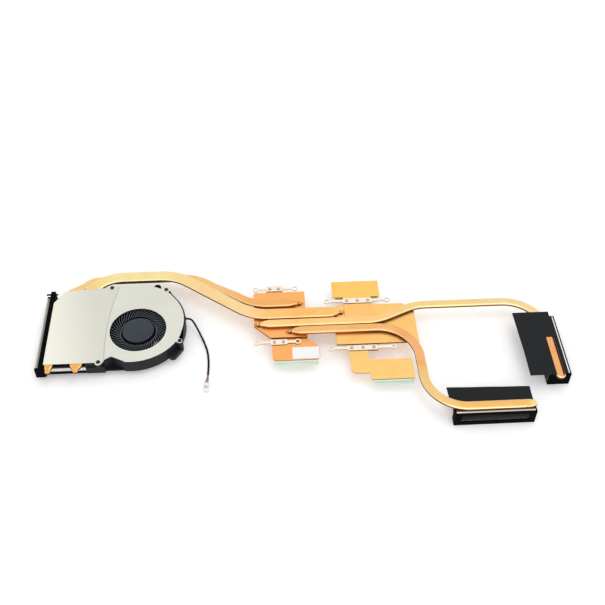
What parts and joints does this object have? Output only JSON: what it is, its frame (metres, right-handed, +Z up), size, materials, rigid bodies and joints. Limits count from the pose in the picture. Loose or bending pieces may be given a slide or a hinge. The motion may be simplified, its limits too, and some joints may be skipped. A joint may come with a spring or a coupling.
{
  "type": "laptop cooling fan heatsink",
  "caption": "Flat laptop cooler: a blower and fin stacks joined by flattened heat pipes that cross processor plates held by spring clips, with foam outlet gaskets and a fan lead.",
  "frame": {"origin": "under the middle of the assembly, on the plane that its outlet gaskets rest on", "axes": "+X along the assembly towards the right fin stack, +Y to the back where the pipes pass behind the blower, +Z up, away from the processors"},
  "size_m": [0.4106, 0.1575, 0.0168],
  "materials": {
    "copper": "brushed copper sheet and tube",
    "cover_sheet": "satin coated sheet",
    "black_plastic": "moulded, fine matte",
    "rotor_plastic": "moulded, satin",
    "black_steel": "blackened",
    "spring_steel": "bright rolled",
    "motor_steel": "plain",
    "magnet": "bonded ferrite",
    "bearing": "sintered",
    "board": "solder mask",
    "winding": "enamelled copper wire",
    "fin_aluminium": "bright sheet",
    "foam": "open foam with a woven skin",
    "film_black": "thin matte film",
    "thermal_pad": "soft, slightly tacky",
    "film_green": "clear release film",
    "paper": "smooth, blank",
    "lead_black": "braided sleeve",
    "lead_pale": "thin insulation",
    "plug_white": "moulded"
  },
  "bodies": {
    "frame": {"wide_heat_pipe": "copper", "narrow_heat_pipe": "copper", "right_heat_pipe": "copper", "front_heat_pipe": "copper", "cpu_plate": "copper", "gpu_plate": "copper", "cpu_rear_tab": "copper", "cpu_front_spreader": "copper", "gpu_rear_spreader": "copper", "gpu_front_spreader": "copper", "cpu_contact_block": "copper", "gpu_contact_block": "copper", "clip_rivets": "copper", "fan_cover": "cover_sheet", "fan_housing": "black_plastic", "cover_screws": "black_steel", "cpu_rear_clip": "spring_steel", "cpu_front_clip": "spring_steel", "gpu_rear_clip": "spring_steel", "gpu_front_clip": "spring_steel", "stator_core": "motor_steel", "bearing_sleeve": "bearing", "motor_board": "board", "stator_coils": "winding", "left_fin_stack": "fin_aluminium", "right_fin_stack": "fin_aluminium", "front_fin_stack": "fin_aluminium", "left_exit_gasket": "foam", "right_exit_gasket": "foam", "front_exit_gasket": "foam", "right_flap_foam": "foam", "right_flap": "film_black", "front_flap": "film_black", "right_edge_tape": "film_black", "cpu_front_pad": "thermal_pad", "gpu_front_pad": "thermal_pad", "gpu_rear_pad": "thermal_pad", "cpu_front_film": "film_green", "gpu_front_film": "film_green", "gpu_rear_film": "film_green", "blank_label": "paper", "lead_sleeve": "lead_black", "lead_wires": "lead_pale", "fan_plug": "plug_white"},
    "rotor": {"impeller": "rotor_plastic", "rotor_yoke": "motor_steel", "rotor_magnet": "magnet", "rotor_shaft": "motor_steel"}
  },
  "joints": [
    {"name": "impeller_spin", "type": "hinge", "parent": "frame", "child": "rotor", "pos_m": [-0.1281, 0.0145, 0.0107], "axis": [0, 0, 1], "continuous": true}
  ]
}
